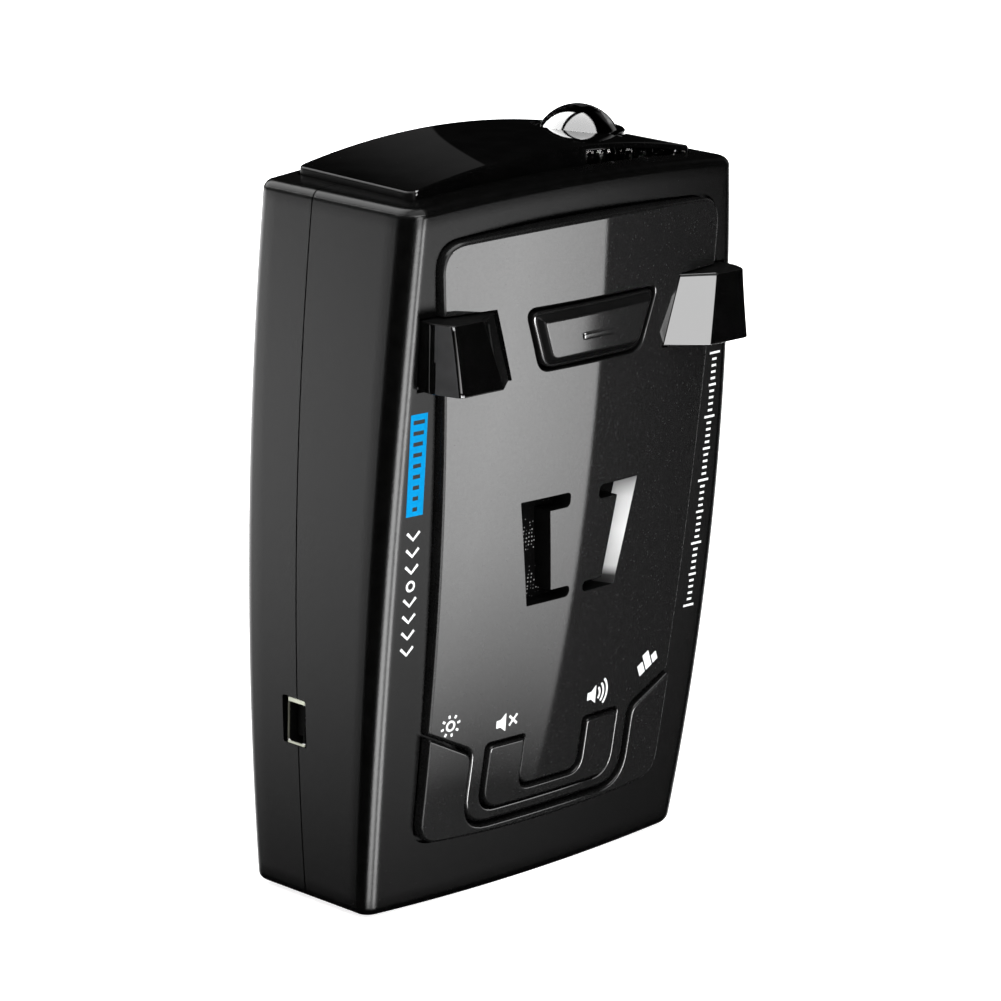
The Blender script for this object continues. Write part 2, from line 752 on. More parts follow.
def case_shells(material):
    """The two halves of the case, hollow, with every opening."""
    shell = barrel("front_shell_skin", 0)
    carve(shell, barrel("hollow", WALL, arc=4, rows=14, spacing=5))
    carve(shell, cuboid("below_foot", (-FAR, FAR), (-FAR, FAR), (-FAR, 0)))
    rebate_floor = lambda x, y: roof_z(x) - CAP_SINK
    carve(shell, between("rebate", lambda x, y: SKY_Z, rebate_floor, cap_loop(FIT), "z"))
    carve(shell, prism("light_well", circle(DOME_X, DOME_Y, 5.2), 90, 120, "z"))
    display = oval((-DISPLAY_HALF, DISPLAY_HALF),
                   (PARTING_Y - DISPLAY_HALF_DEPTH, PARTING_Y + DISPLAY_HALF_DEPTH), 1)
    carve(shell, prism("display_hole", display, -FAR, 6, "z"))
    carve(shell, prism("port_pocket", port_oval(2.3, 4.2, 0.4), -33.6, -24, "x"))
    mouth = oval(PORT_MOUTH_Y, (PORT_Z - 3.6, PORT_Z + 3.6), 0.5)
    carve(shell, prism("port_mouth", mouth, -FAR, -30, "x"))
    rear = bpy.data.objects.new("rear_shell_skin", shell.data.copy())
    bpy.context.scene.collection.objects.link(rear)

    front_half = cuboid("front_half", (-FAR, FAR), (-FAR, PARTING_Y - SEAM_HALF), (-FAR, 2 * FAR))
    carve(shell, front_half, "INTERSECT")
    recess_floor = lambda x, z: shell_face(x, z) + RECESS
    far_front = lambda x, z: -FAR
    carve(shell, between("recess", far_front, recess_floor, panel_outline(0.4)))
    for side in (-1, 1):
        carve(shell, between("rail_pocket", far_front, recess_floor, rail_foot(side)))
    wheel_slot = circle(WHEEL_X, WHEEL_Z, WHEEL_RADIUS + 0.5, 96)
    carve(shell, prism("wheel_slot", wheel_slot, WHEEL_Y[0] - 0.4, WHEEL_Y[1] + 0.4))
    scoop = [(20 * math.sin(a), -20 * math.cos(a)) for a in np.linspace(0, math.pi, 61)]
    centre = (half_width(WHEEL_Z) + 19.3, sum(WHEEL_Y) / 2, WHEEL_Z)
    carve(shell, lathe("scoop", scoop, centre, "x", 96))

    rear_half = cuboid("rear_half", (-FAR, FAR), (PARTING_Y + SEAM_HALF, FAR), (-FAR, 2 * FAR))
    carve(rear, rear_half, "INTERSECT")
    label_bed = oval((-LABEL_HALF, LABEL_HALF), LABEL_Z, 1)
    bed_floor = lambda x, z: back_face(x) - LABEL_DEPTH
    carve(rear, between("label_bed", bed_floor, lambda x, z: FAR, label_bed))
    for x, z in BOSSES:
        profile = [(0, 0), (1.5, 0), (1.5, SCREW_HEAD_Y - 0.2), (3, SCREW_HEAD_Y - 0.2),
                   (3, back_face(x) - 0.3), (3.5, back_face(x) + 0.2), (3.5, 30), (0, 30)]
        carve(rear, lathe("screw_hole", profile, (x, 0, z)))
        boss = [(1.4, PARTING_Y + 0.1), (3.6, PARTING_Y + 0.1), (3.6, 16.5), (3.05, 16.5),
                (3.05, SCREW_HEAD_Y - 0.2), (1.4, SCREW_HEAD_Y - 0.2)]
        carve(rear, lathe("boss", boss, (x, 0, z)), "UNION")
    for half in (shell, rear):
        finish_mesh(half, material, 28)
        paint(half, SHELL_TOP, lambda at, facing: facing.z > 0.45 and at.z > 90)
    return shell, rear


# ---- the face ----
def face_panel(material):
    rim = round_edge(PANEL_EDGE, 6)
    gap = round_edge(0.3, 4)
    loops = [panel_loop(), inner_key_loop(KEY_GAP), button_loop(KEY_GAP, 1.8)]
    loops += [slot_loops(-1), slot_loops(1)]
    rings = [rim, gap, gap, round_edge(0.12, 3), round_edge(0.12, 3)]
    behind = sheet(lambda x, z: shell_face(x, z) + PANEL_SINK)
    panel = plate("face_panel_skin", loops, sheet(panel_face), behind, rings, material, 0.8)
    for side in (-1, 1):
        carve(panel, prism("rail_notch", rail_foot(side), -FAR, FAR))
    finish_mesh(panel, material)
    slot_low, slot_high = SLOT_Z[0] - 0.3, SLOT_Z[3] + 0.3
    in_slots = lambda at, facing: abs(at.x) < 12.3 and slot_low < at.z < slot_high and abs(facing.y) < 0.93
    paint(panel, SLOT_WALL, in_slots)
    paint(panel, BRIGHT_WALL, lambda at, facing: in_slots(at, facing) and at.x > 7.4 and facing.x < -0.5)
    paint(panel, RIM, lambda at, facing: facing.y > -0.96 and not in_slots(at, facing))
    paint(panel, DULL_RIM, lambda at, facing: facing.y > -0.96 and abs(at.x) < 15 and 76 < at.z < 92)
    return true_normals(panel, sheet(panel_face))


def keys(material):
    edge = round_edge(KEY_EDGE, 5)
    behind = sheet(lambda x, z: shell_face(x, z) + KEY_SINK)
    pair = []
    for name, loop in (("outer_key_skin", outer_key_loop()), ("inner_key_skin", inner_key_loop(0))):
        key = plate(name, [loop], sheet(key_face), behind, edge, material, 0.8)
        true_normals(key, sheet(key_face))
        paint(key, RIM, lambda at, facing: facing.y > -0.96)
        pair.append(key)
    return pair


def release_button(material):
    """A rounded trapezoid: a thin lip, steep sides, a satin face with a raised dash."""
    face = lambda x, z: panel_face(x * 0.9, z) + BUTTON_TILT * x - BUTTON_PROUD
    rings = [(0, 1.3), (0.02, 1.12), (0.1, 1.02), (0.22, 0.98), (0.42, 0.97), (0.6, 0.9),
             (0.75, 0.72), (1.15, 0.22), (1.3, 0.1), (1.5, 0.02), (1.75, 0)]
    button = plate("release_button_skin", [button_loop(0, 2.0)], sheet(face), sheet(lambda x, z: -10.2),
                   rings, material, 0.6)
    true_normals(button, sheet(face))
    paint(button, DULL_RIM, lambda at, facing: facing.y > -0.97)
    dash = plate("release_button_dash", [oval((-3.4, 3.4), (83.3, 84.4), 0.5)],
                 sheet(lambda x, z: face(x, z) - 0.35), sheet(lambda x, z: face(x, z) + 0.2),
                 round_edge(0.3, 5), material, 0.5)
    return button, dash


def rail_section(side, share, inwards):
    """The rail's loop of x and y, at a share of its height."""
    low, high = share_of(RAIL_INNER, share), share_of(RAIL_FRONT_INNER, share)
    front = share_of(RAIL_FRONT_Y, share)
    outer = RAIL_FRONT_OUTER + 0.3 * share ** 2
    corners = [(low, -12), (low, RAIL_WAIST_Y), (high, front), (outer, front),
               (RAIL_OUTER, RAIL_WAIST_Y), (RAIL_OUTER - 0.1, -12)]
    radii = [0, 0.15, 0.25, 0.9, 0.9, 0]
    loop = rounded([(side * x, y) for x, y in corners], radii, step=20, count=7)
    return inset(loop, inwards)


def share_of(pair, share):
    """The level between the two of a pair, at a share from 0 to 1."""
    return pair[0] + (pair[1] - pair[0]) * share


def rail_block(name, side, material):
    low, high = RAIL_Z
    turn = np.linspace(0, math.pi / 2, 5)
    levels = [(low + 0.15 * (1 - math.cos(a)), 0.15 * (1 - math.sin(a))) for a in turn]
    levels += [(z, 0) for z in np.linspace(low, high, 14)[1:-1]]
    levels += [(high - 0.3 * (1 - math.cos(a)), 0.3 * (1 - math.sin(a))) for a in turn[::-1]]
    sections = []
    for z, inwards in levels:
        loop = rail_section(side, (z - low) / (high - low), inwards)
        sections.append(np.column_stack([loop, np.full(len(loop), z)]))
    block = loft(name, sections, material, 40)
    paint(block, RAIL_SIDE, lambda at, facing: facing.x * side > 0.8 and facing.y < -0.2)
    paint(block, RIM, lambda at, facing: facing.x * side < -0.72)
    paint(block, DULL_RIM, lambda at, facing: facing.z > 0.35)
    return block


# ---- printed marks ----
def stroke(points, width):
    """The outline of a pen line through the points."""
    points = np.array(points, float)
    along = np.gradient(points, axis=0)
    along /= np.linalg.norm(along, axis=1)[:, None]
    across = np.stack([-along[:, 1], along[:, 0]], axis=1) * width / 2
    return np.concatenate([points + across, (points - across)[::-1]])


def arc(u, v, radius, start, stop, count=9):
    angles = np.radians(np.linspace(start, stop, count))
    return np.stack([u + radius * np.cos(angles), v + radius * np.sin(angles)], axis=1)


def ink(name, shapes, face, material, outwards=-1):
    """Thin prints on a face, all in one mesh. A shape is a loop, or a list of a loop and its holes."""
    work = bmesh.new()
    for shape in shapes:
        loops = shape if isinstance(shape, list) else [shape]
        part = plate(name, loops, sheet(lambda x, z: face(x, z) + outwards * INK_LIFT),
                     sheet(lambda x, z: face(x, z) - outwards * 0.1), [(0, 0)], material)
        work.from_mesh(part.data)
        mesh = part.data
        bpy.data.objects.remove(part)
        bpy.data.meshes.remove(mesh)
    mesh = bpy.data.meshes.new(name)
    work.to_mesh(mesh)
    work.free()
    prints = bpy.data.objects.new(name, mesh)
    bpy.context.scene.collection.objects.link(prints)
    finish_mesh(prints, material)
    return prints


def placed(shapes, u, v, angle):
    """The shapes turned by the angle in degrees and moved to (u, v)."""
    c, s = math.cos(math.radians(angle)), math.sin(math.radians(angle))
    move = lambda loop: loop @ np.array([[c, s], [-s, c]]) + (u, v)
    return [[move(loop) for loop in shape] if isinstance(shape, list) else move(shape) for shape in shapes]


def sun():
    ray = lambda angle: stroke([arc(0, 0, r, angle, angle, 1)[0] for r in (1.25, 1.75)], 0.36)
    rays = [ray(angle) for angle in range(0, 360, 45)]
    return [[circle(0, 0, 0.85, 24), circle(0, 0, 0.5, 24)]] + rays


def loudspeaker():
    corners = [(-1.9, -0.6), (-1.1, -0.6), (-0.1, -1.45), (-0.1, 1.45), (-1.1, 0.6), (-1.9, 0.6)]
    return [rounded(corners, 0.12)]


def quiet_speaker():
    cross = [[(0.6, -0.75), (2.1, 0.75)], [(0.6, 0.75), (1.2, 0.15)], [(1.5, -0.15), (2.1, -0.75)]]
    return loudspeaker() + [stroke(points, 0.36) for points in cross]


def loud_speaker():
    return loudspeaker() + [stroke(arc(-0.5, 0, r, -42, 42), 0.36) for r in (1.3, 2.1, 2.9)]


def houses():
    blocks = [(-2.2, -0.95, 0.6), (-0.65, 0.75, 1.5), (1.05, 2.2, 0.15)]
    return [box_loop((left, right), (-1.3, top)) for left, right, top in blocks]


def margin_middle(side, z):
    """The middle of the strip between the panel and the case's edge."""
    return side * ((side_x(z) + half_width(z)) / 2 - 0.55)


def margin_marks(side, z, shapes):
    lean = math.degrees(math.atan2(margin_middle(side, z + 1) - margin_middle(side, z - 1), 2))
    return placed(shapes, margin_middle(side, z), z, -lean)


def key_symbols():
    shapes = placed(sun(), -21.2, 28.4, -30) + placed(quiet_speaker(), -10.4, 26.9, 4)
    return shapes + placed(loud_speaker(), 8.3, 27.3, 4) + placed(houses(), 19.6, 30.0, 28)


def blue_bar():
    """A bar with a row of level marks cut out of it."""
    heights = np.linspace(61.2, 76.0, 14)
    left = [margin_middle(-1, z) - 1.55 for z in heights]
    right = [margin_middle(-1, z) + 1.55 for z in heights]
    bar = np.concatenate([np.column_stack([right, heights]), np.column_stack([left, heights])[::-1]])
    holes = []
    for k in range(9):
        z = 62.2 + 1.58 * k
        reach = 0.45 + 0.075 * k
        holes.extend(margin_marks(-1, z, [box_loop((-reach, reach), (-0.3, 0.3))]))
    return [[bar] + holes]


def left_row():
    """A row of arrowheads pointing down, with a ring between."""
    shapes = []
    for k in range(8):
        if k == 3:
            mark = [[circle(0, 0, 0.85, 20), circle(0, 0, 0.5, 20)]]
        else:
            mark = [stroke([(-1.15, 0.6), (0, -0.5), (1.15, 0.6)], 0.42)]
        shapes.extend(margin_marks(-1, 58.2 - 2.45 * k, mark))
    return shapes


def right_row():
    """A fine scale: long, middle and short ticks."""
    shapes = []
    for k in range(41):
        reach = 1.15 if k % 10 == 0 else (0.8 if k % 5 == 0 else 0.5)
        shapes.extend(margin_marks(1, 36.4 + 0.98 * k, [box_loop((-reach, reach), (-0.17, 0.17))]))
    return shapes


# ---- cap, lens, dome ----
def lens_space(name, grow):
    x0, x1 = LENS_X
    skin = lambda x, y: cap_z(x) - CAP_SKIN + grow
    window = below(name, box_loop((x0 - grow, x1 + grow), (-FAR, LENS_BACK_Y + grow)), skin)
    bridge = box_loop((DOME_X - 4 - grow, DOME_X + 4 + grow), (LENS_BACK_Y - 1, DOME_Y))
    carve(window, below("bridge", bridge, skin), "UNION")
    flange = circle(DOME_X, DOME_Y, FLANGE_RADIUS + grow, 72)
    return carve(window, prism("flange", flange, 90, 130, "z"), "UNION")


def roof_cap(material):
    top = sheet(lambda x, y: cap_z(x), "z", -1)
    foot = sheet(lambda x, y: roof_z(x) - 0.5, "z")
    cap = plate("roof_cap_skin", [cap_loop(0)], top, foot, round_edge(CAP_EDGE, 7), material, 1.0)
    carve(cap, lens_space("lens_room", 0.08))
    finish_mesh(cap, material, 30)
    paint(cap, DULL_RIM, lambda at, facing: facing.z < 0.93 and abs(facing.x) > 0.3)
    return true_normals(cap, top, (0, 1))


def clear_window(material):
    """The clear front of the cap under its black skin, with light-turning prisms behind."""
    x0, x1 = LENS_X
    loop = cap_loop(-0.05)
    body = below("laser_window", loop, lambda x, y: cap_z(x) - CAP_SKIN - 0.05)
    carve(body, cuboid("window_span", (x0, x1), (-FAR, LENS_BACK_Y), (roof_z(16) - 1.4, 130)), "INTERSECT")
    for k in range(7):
        x = x0 + 1.6 + 2.9 * k
        corners = [(x, LENS_BACK_Y + 0.5), (x + 1.9, LENS_BACK_Y + 0.5), (x + 1.1, LENS_BACK_Y - 1.7)]
        carve(body, prism("prism", turned(np.array(corners), 1), 100, 130, "z"))
    finish_mesh(body, material, 20)
    return body


def dome(material):
    """A solid clear bead on a thin flange."""
    centre_z = DOME_TOP_Z - DOME_RADIUS
    flange_z = cap_z(DOME_X) + 0.05
    start = math.asin((flange_z - centre_z) / DOME_RADIUS)
    profile = [(DOME_RADIUS * math.cos(a), centre_z + DOME_RADIUS * math.sin(a))
               for a in np.linspace(math.pi / 2, start, 28)]
    profile[0] = (0, DOME_TOP_Z)
    flange = [(6.6, flange_z), (6.85, flange_z - 0.06), (6.95, flange_z - 0.2),
              (6.95, flange_z - 1.2), (0, flange_z - 1.2)]
    return lathe("laser_dome", profile + flange, (DOME_X, DOME_Y, 0), "z", 96, material, 24)


# ---- small pieces ----
def speaker_mesh(material):
    loop = oval((-MESH_HALF, MESH_HALF), MESH_Z, 1)
    near = sheet(lambda x, z: shell_face(x, z) + 0.52)
    far = sheet(lambda x, z: shell_face(x, z) + 0.78)
    return plate("speaker_mesh_skin", [loop], near, far, [(0, 0)], material, 1.5)


def volume_wheel(material):
    teeth, depth = 36, 0.17
    points = []
    for i in range(teeth * 6):
        angle = 2 * math.pi * i / (teeth * 6)
        radius = WHEEL_RADIUS - depth + depth * math.cos(teeth * angle)
        points.append((WHEEL_X + radius * math.cos(angle), WHEEL_Z + radius * math.sin(angle)))
    loop = turned(np.array(points), 1)
    sections = []
    low, high = WHEEL_Y
    for y, inwards in ((low, 0.3), (low + 0.08, 0.1), (low + 0.3, 0),
                       (high - 0.3, 0), (high - 0.08, 0.1), (high, 0.3)):
        ring = wheel_ring(loop, inwards)
        sections.append(np.column_stack([ring[:, 0], np.full(len(ring), y), ring[:, 1]]))
    wheel = loft("volume_wheel_skin", sections, material, 35)
    dish = [(0, 0), (5.6, 0), (5.6, low + 0.5), (5.3, low + 0.7), (0, low + 0.7)]
    carve(wheel, lathe("dish", dish, (WHEEL_X, 0, WHEEL_Z)))
    finish_mesh(wheel, material, 35)
    return wheel


def wheel_ring(loop, inwards):
    centre = np.array([WHEEL_X, WHEEL_Z])
    return centre + (loop - centre) * (1 - inwards / WHEEL_RADIUS)


def power_socket(steel, plastic):
    """A folded steel shell with a tongue, open to the left. Its rim is bright at both ends."""
    outer = port_oval(PORT_HALF[0], PORT_HALF[1], 0.7)
    bore = port_oval(PORT_HALF[0] - PORT_SKIN, PORT_HALF[1] - PORT_SKIN, 0.5)
    shell = prism("power_socket_skin", outer, PORT_FACE_X, -24.7, "x")
    carve(shell, prism("bore", bore, -FAR, -25.2, "x"))
    finish_mesh(shell, steel, 35)
    paint(shell, SLOT_WALL, lambda at, facing: facing.x > -0.7)
    edges = []
    for name, ys, zs, finish in (("top", (-1.7, 1.7), (2.8, 3.4), PALE_RIM),
                                 ("foot", (-1.7, 1.7), (-3.42, -3.12), PALE_RIM),
                                 ("back", (1.46, 1.76), (-2.95, 2.75), OLIVE_RIM),
                                 ("front", (-1.76, -1.46), (-2.95, 2.75), SLOT_WALL)):
        loop = oval([PORT_Y + y for y in ys], [PORT_Z + z for z in zs], 0.14)
        edge = prism(f"power_socket_{name}", loop, PORT_FACE_X - 0.12, PORT_FACE_X + 0.05, "x")
        finish_mesh(edge, finish, 35)
        edges.append(edge)
    blade = oval((PORT_Y - 0.35, PORT_Y + 0.65), (PORT_Z - 2.3, PORT_Z + 2.3), 0.3)
    tongue = prism("power_socket_blade", blade, -33.7, -25.3, "x")
    finish_mesh(tongue, plastic, 35)
    return [shell] + edges, tongue


def case_screw(number, x, z, material):
    top = SCREW_HEAD_Y + 1.75
    head = [(0, 0.6), (0.8, 0.6), (1.1, 1.4), (1.1, SCREW_HEAD_Y), (SCREW_HEAD_RADIUS - 0.1, SCREW_HEAD_Y),
            (SCREW_HEAD_RADIUS, SCREW_HEAD_Y + 0.1)]
    for a in np.linspace(0.15, math.pi / 2, 8):
        head.append((SCREW_HEAD_RADIUS * math.cos(a) ** 0.5 if a < 1.57 else 0, top - 1 + math.sin(a)))
    head[-1] = (0, top)
    screw = lathe(f"case_screw_head_{number}", head, (x, 0, z), "y", 40)
    tilt = 0.35 + 0.6 * number
    for turn in (tilt, tilt + math.pi / 2):
        arm = rounded([(-1.6, -0.33), (1.6, -0.33), (1.6, 0.33), (-1.6, 0.33)], 0.2)
        spin = np.array([[math.cos(turn), math.sin(turn)], [-math.sin(turn), math.cos(turn)]])
        carve(screw, prism("cross", arm @ spin + (x, z), SCREW_HEAD_Y + 0.8, FAR))
    finish_mesh(screw, material, 30)
    return screw


def rating_label(material):
    loop = oval((-LABEL_HALF + 0.5, LABEL_HALF - 0.5), (LABEL_Z[0] + 0.5, LABEL_Z[1] - 0.5), 0.9)
    under = sheet(lambda x, z: back_face(x) - 0.58)
    return plate("rating_label_skin", [loop], sheet(label_face, "y", -1), under, [(0, 0.08), (0.08, 0)],
                 material, 1.5)


def label_face(x, z):
    return back_face(x) - 0.42 + 0 * z


def label_bars():
    """A frame line and five plain bars, standing in for the print of a label."""
    left, right = 2 - LABEL_HALF, LABEL_HALF - 2
    low, high = LABEL_Z[0] + 2, LABEL_Z[1] - 2
    inner = oval((left + 0.3, right - 0.3), (low + 0.3, high - 0.3), 0.7)
    frame_line = [oval((left, right), (low, high), 1), inner]
    bars = []
    for row, length in enumerate((0.86, 0.6, 0.72, 0.5, 0.66)):
        z = high - (high - low) * (0.2 + 0.15 * row)
        bars.append(oval((left + 2, left + 2 + length * (right - left - 4)), (z - 0.45, z + 0.45), 0.3))
    return [frame_line] + bars


def display_window(material):
    half, depth = DISPLAY_HALF - 0.25, DISPLAY_HALF_DEPTH - 0.25
    loop = oval((-half, half), (PARTING_Y - depth, PARTING_Y + depth), 0.9)
    under, inside_face = sheet(lambda x, y: 0.35, "z"), sheet(lambda x, y: 1.85, "z")
    return plate("display_window_skin", [loop], under, inside_face, round_edge(0.2, 4), material, 2.0)


# ---- materials ----
def spread(tree, value, source, target):
    """A node that carries the value's range source over to the range target."""
    node = tree.nodes.new("ShaderNodeMapRange")
    for socket, level in zip(("From Min", "From Max", "To Min", "To Max"), (*source, *target)):
        node.inputs[socket].default_value = level
    tree.links.new(value, node.inputs["Value"])
    return node


def color_ramp(tree, value, stops):
    """Colours over a value. Stops are (position, grey or colour)."""
    ramp = tree.nodes.new("ShaderNodeValToRGB")
    elements = ramp.color_ramp.elements
    while len(elements) < len(stops):
        elements.new(0.5)
    for element, (position, tone) in zip(elements, stops):
        element.position = position
        element.color = (tone, tone, tone, 1) if isinstance(tone, (int, float)) else (*tone, 1)
    tree.links.new(value, ramp.inputs["Fac"])
    return ramp.outputs["Color"]


class Surface:
    """A procedural material: a principled shader with patterns read in metres of the object."""

    def __init__(self, name, color, roughness, **sockets):
        self.material = bpy.data.materials.new(name)
        self.material.use_nodes = True
        self.tree = self.material.node_tree
        self.shader = self.tree.nodes["Principled BSDF"]
        self.place = self.tree.nodes.new("ShaderNodeTexCoord").outputs["Object"]
        self.shader.inputs["Base Color"].default_value = (*color, 1)
        self.shader.inputs["Roughness"].default_value = roughness
        for socket, value in sockets.items():
            self.shader.inputs[socket.replace("_", " ")].default_value = value
        self.bump_end = None

    def noise(self, scale, detail, roughness=0.5, stretch=(1, 1, 1)):
        """Noise whose features are about 1/scale metres across, from 0 to 1."""
        mapping = self.tree.nodes.new("ShaderNodeMapping")
        mapping.inputs["Scale"].default_value = stretch
        self.tree.links.new(self.place, mapping.inputs["Vector"])
        noise = self.tree.nodes.new("ShaderNodeTexNoise")
        noise.inputs["Scale"].default_value = scale
        noise.inputs["Detail"].default_value = detail
        noise.inputs["Roughness"].default_value = roughness
        self.tree.links.new(mapping.outputs["Vector"], noise.inputs["Vector"])
        return noise.outputs["Fac"]

    def cells(self, scale):
        cells = self.tree.nodes.new("ShaderNodeTexVoronoi")
        cells.inputs["Scale"].default_value = scale
        self.tree.links.new(self.place, cells.inputs["Vector"])
        return cells

    def drive(self, socket, value):
        """Joins a node's output to a socket of the shader."""
        self.tree.links.new(value, self.shader.inputs[socket])
        return self

    def color(self, value, stops):
        return self.drive("Base Color", color_ramp(self.tree, value, stops))

    def rough(self, value, low, high):
        return self.drive("Roughness", spread(self.tree, value, (0, 1), (low, high)).outputs["Result"])

    def relief(self, value, height, strength, under=None):
        """Normals of a relief of the given height in metres, over another relief or on its own."""
        bump = self.tree.nodes.new("ShaderNodeBump")
        bump.inputs["Distance"].default_value = height
        bump.inputs["Strength"].default_value = strength
        self.tree.links.new(value, bump.inputs["Height"])
        if under is not None:
            self.tree.links.new(under, bump.inputs["Normal"])
        return bump.outputs["Normal"]

    def bump(self, value, height, strength):
        self.bump_end = self.relief(value, height, strength, self.bump_end)
        return self.drive("Normal", self.bump_end)


def shell_plastic(name, shine):
    """Fine matt texture, as moulded from an eroded tool."""
    surface = Surface(name, (0.0015, 0.0015, 0.0016), 0.3, Specular_IOR_Level=shine)
    grain = surface.noise(3400, 3)
    surface.color(surface.noise(700, 3), [(0.3, 0.0004), (0.7, 0.001)])
    surface.rough(grain, 0.2, 0.3)
    return surface.bump(grain, 0.00003, 0.35).bump(surface.noise(160, 2), 0.00001, 0.3).material


def panel_paint(name, coat_roughness):
    """Satin lacquer over fine metal flakes."""
    surface = Surface(name, (0.008, 0.008, 0.0082), 0.5, Specular_IOR_Level=0.16,
                      Coat_Roughness=coat_roughness, Coat_IOR=1.7)
    flakes = surface.cells(5200)
    surface.color(flakes.outputs["Color"], [(0.2, 0.0014), (0.75, 0.0036), (0.95, 0.01)])
    surface.drive("Coat Normal", surface.relief(surface.noise(4200, 2), 0.000004, 0.25))
    grain = spread(surface.tree, surface.noise(2600, 2), (0.3, 0.7), (0.92, 1.0))
    return surface.drive("Coat Weight", grain.outputs["Result"]).material


def gloss_black():
    surface = Surface("polished_black_plastic", (0.0012, 0.0012, 0.0013), 0.05)
    surface.color(surface.noise(260, 3), [(0.3, 0.0008), (0.7, 0.0016)])
    return surface.rough(surface.noise(900, 2), 0.008, 0.02).material


def clear_plastic(name, tone, scale=220, relief=0.000004):
    surface = Surface(name, (tone, tone, tone), 0.0, Transmission_Weight=1.0, IOR=1.49)
    surface.color(surface.noise(120, 1), [(0.3, tone * 0.97), (0.7, tone)])
    return surface.bump(surface.noise(scale, 1), relief, 0.3).material


def dark_window():
    surface = Surface("smoked_window", (0.012, 0.003, 0.003), 0.06)
    surface.color(surface.noise(150, 2), [(0.3, (0.012, 0.003, 0.003)), (0.7, (0.017, 0.004, 0.004))])
    return surface.rough(surface.noise(1500, 2), 0.04, 0.1).material


def metal(name, color, low, high, scale=900, stretch=(1, 1, 1), relief=0.000004):
    surface = Surface(name, color, low, Metallic=1.0)
    grain = surface.noise(scale, 4, 0.6, stretch)
    dark = tuple(c * 0.8 for c in color)
    surface.color(surface.noise(scale / 4, 3), [(0.3, dark), (0.7, color)])
    return surface.rough(grain, low, high).bump(grain, relief, 0.5).material


def plain(name, color, low, high, scale=1500, relief=0.00001, shine=0.5):
    """A moulded or painted surface with slight variation and fine grain."""
    surface = Surface(name, color, low, Specular_IOR_Level=shine)
    grain = surface.noise(scale, 3)
    dark = tuple(c * 0.75 for c in color)
    light = tuple(min(1, c * 1.2) for c in color)
    surface.color(surface.noise(scale / 6, 3), [(0.3, dark), (0.7, light)])
    return surface.rough(grain, low, high).bump(grain, relief, 0.4).material


def satin_edge():
    """Satin white that darkens towards both ends of the sound slot."""
    surface = Surface("satin_white_edge", (0.5, 0.5, 0.49), 0.35)
    height = surface.tree.nodes.new("ShaderNodeSeparateXYZ")
    surface.tree.links.new(surface.place, height.inputs["Vector"])
    along = spread(surface.tree, height.outputs["Z"], (SLOT_Z[0] * MM, SLOT_Z[3] * MM), (0, 1))
    stops = [(0.0, 0.01), (0.07, 0.02), (0.16, 0.4), (0.5, 0.58), (0.8, 0.5), (0.93, 0.28), (1.0, 0.14)]
    surface.color(along.outputs["Result"], stops)
    return surface.rough(surface.noise(1200, 3), 0.3, 0.4).material


def circuit_board():
    """Green lacquer with copper tracks showing through."""
    surface = Surface("circuit_board_lacquer", (0.01, 0.08, 0.03), 0.3)
    tracks = surface.tree.nodes.new("ShaderNodeTexBrick")
    for socket, value in (("Scale", 420), ("Mortar Size", 0.05), ("Color1", (0.008, 0.07, 0.026, 1)),
                          ("Color2", (0.012, 0.095, 0.035, 1)), ("Mortar", (0.03, 0.17, 0.06, 1))):
        tracks.inputs[socket].default_value = value
    surface.tree.links.new(surface.place, tracks.inputs["Vector"])
    surface.drive("Base Color", tracks.outputs["Color"]).rough(surface.noise(600, 3), 0.25, 0.42)
    return surface.bump(tracks.outputs["Fac"], 0.00002, 0.3).material


def woven_mesh():
    """Perforated sheet behind the sound slots."""
    surface = Surface("perforated_mesh", (0.002, 0.002, 0.002), 0.5, Specular_IOR_Level=0.004)
    dots = surface.cells(1750)
    dots.inputs["Randomness"].default_value = 0.35
    surface.color(dots.outputs["Distance"], [(0.0, 0.35), (0.15, 0.2), (0.27, 0.002), (1.0, 0.0015)])
    return surface.bump(dots.outputs["Distance"], 0.00006, 0.5).material


def print_ink(name, color, shine=0.3):
    surface = Surface(name, color, 0.45, Specular_IOR_Level=shine)
    light = tuple(min(1, c * 1.05) for c in color)
    dark = tuple(c * 0.93 for c in color)
    surface.color(surface.noise(1800, 3), [(0.35, dark), (0.65, light)])
    return surface.rough(surface.noise(3000, 2), 0.38, 0.52).material


SHELL = shell_plastic("matt_black_plastic", 0.19)
SHELL_TOP = shell_plastic("matt_black_roof", 0.035)
PANEL = panel_paint("satin_flake_lacquer", 0.03)
BUTTON_PAINT = panel_paint("satin_flake_lacquer_button", 0.1)
GLOSS = gloss_black()
RIM = plain("satin_rim", (0.003, 0.003, 0.003), 0.22, 0.32, shine=0.09)
DULL_RIM = plain("dull_rim", (0.003, 0.003, 0.003), 0.25, 0.35, shine=0.03)
RAIL_SIDE = plain("satin_rail_side", (0.017, 0.017, 0.0175), 0.4, 0.5, shine=0.1)
SLOT_WALL = plain("slot_wall_black", (0.0015, 0.0015, 0.0015), 0.3, 0.4, shine=0.01)
BRIGHT_WALL = satin_edge()
OLIVE_RIM = plain("olive_rim", (0.028, 0.028, 0.02), 0.3, 0.4, 1400, shine=0.1)
PALE_RIM = plain("pale_rim", (0.27, 0.28, 0.22), 0.25, 0.35, 1400)
PRISMS = clear_plastic("clear_prisms", 0.8, 420, 0.0016)
BEAD = clear_plastic("smoky_bead", 0.01)
WINDOW = dark_window()
STEEL = metal("zinc_plated_steel", (0.62, 0.63, 0.65), 0.25, 0.4)
SOCKET = metal("tinned_steel", (0.55, 0.55, 0.54), 0.2, 0.34, 1400)
TIN = metal("tin_plate", (0.68, 0.69, 0.7), 0.22, 0.36, 500)
